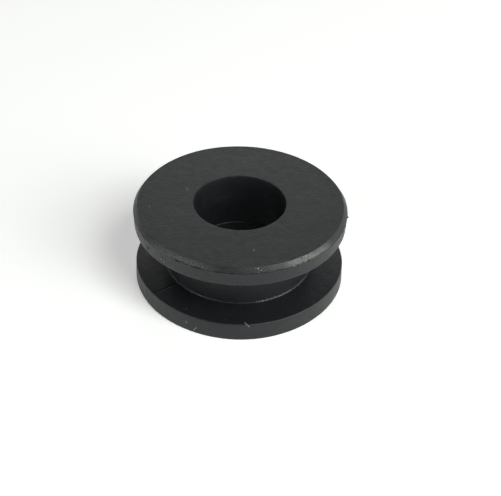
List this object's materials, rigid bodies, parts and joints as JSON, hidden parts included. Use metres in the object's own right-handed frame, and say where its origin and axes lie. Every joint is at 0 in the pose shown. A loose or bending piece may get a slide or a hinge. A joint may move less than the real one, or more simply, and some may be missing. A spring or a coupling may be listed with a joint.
{
  "type": "exhaust rubber bushing",
  "caption": "Round moulded rubber bushing with a flange at each end, a grooved waist that holds a bracket plate and a through bore for a fixing sleeve.",
  "frame": {"origin": "on the bore's axis, in the lower flange's flat face", "axes": "+Z along the bore, from the lower flange up to the bevelled upper flange; X and Y are free, because the part is round"},
  "size_m": [0.03, 0.03, 0.0123],
  "materials": {
    "rubber": "dull black moulded rubber with a satin sheen"
  },
  "bodies": {
    "root": {"bushing": "rubber"}
  },
  "joints": []
}
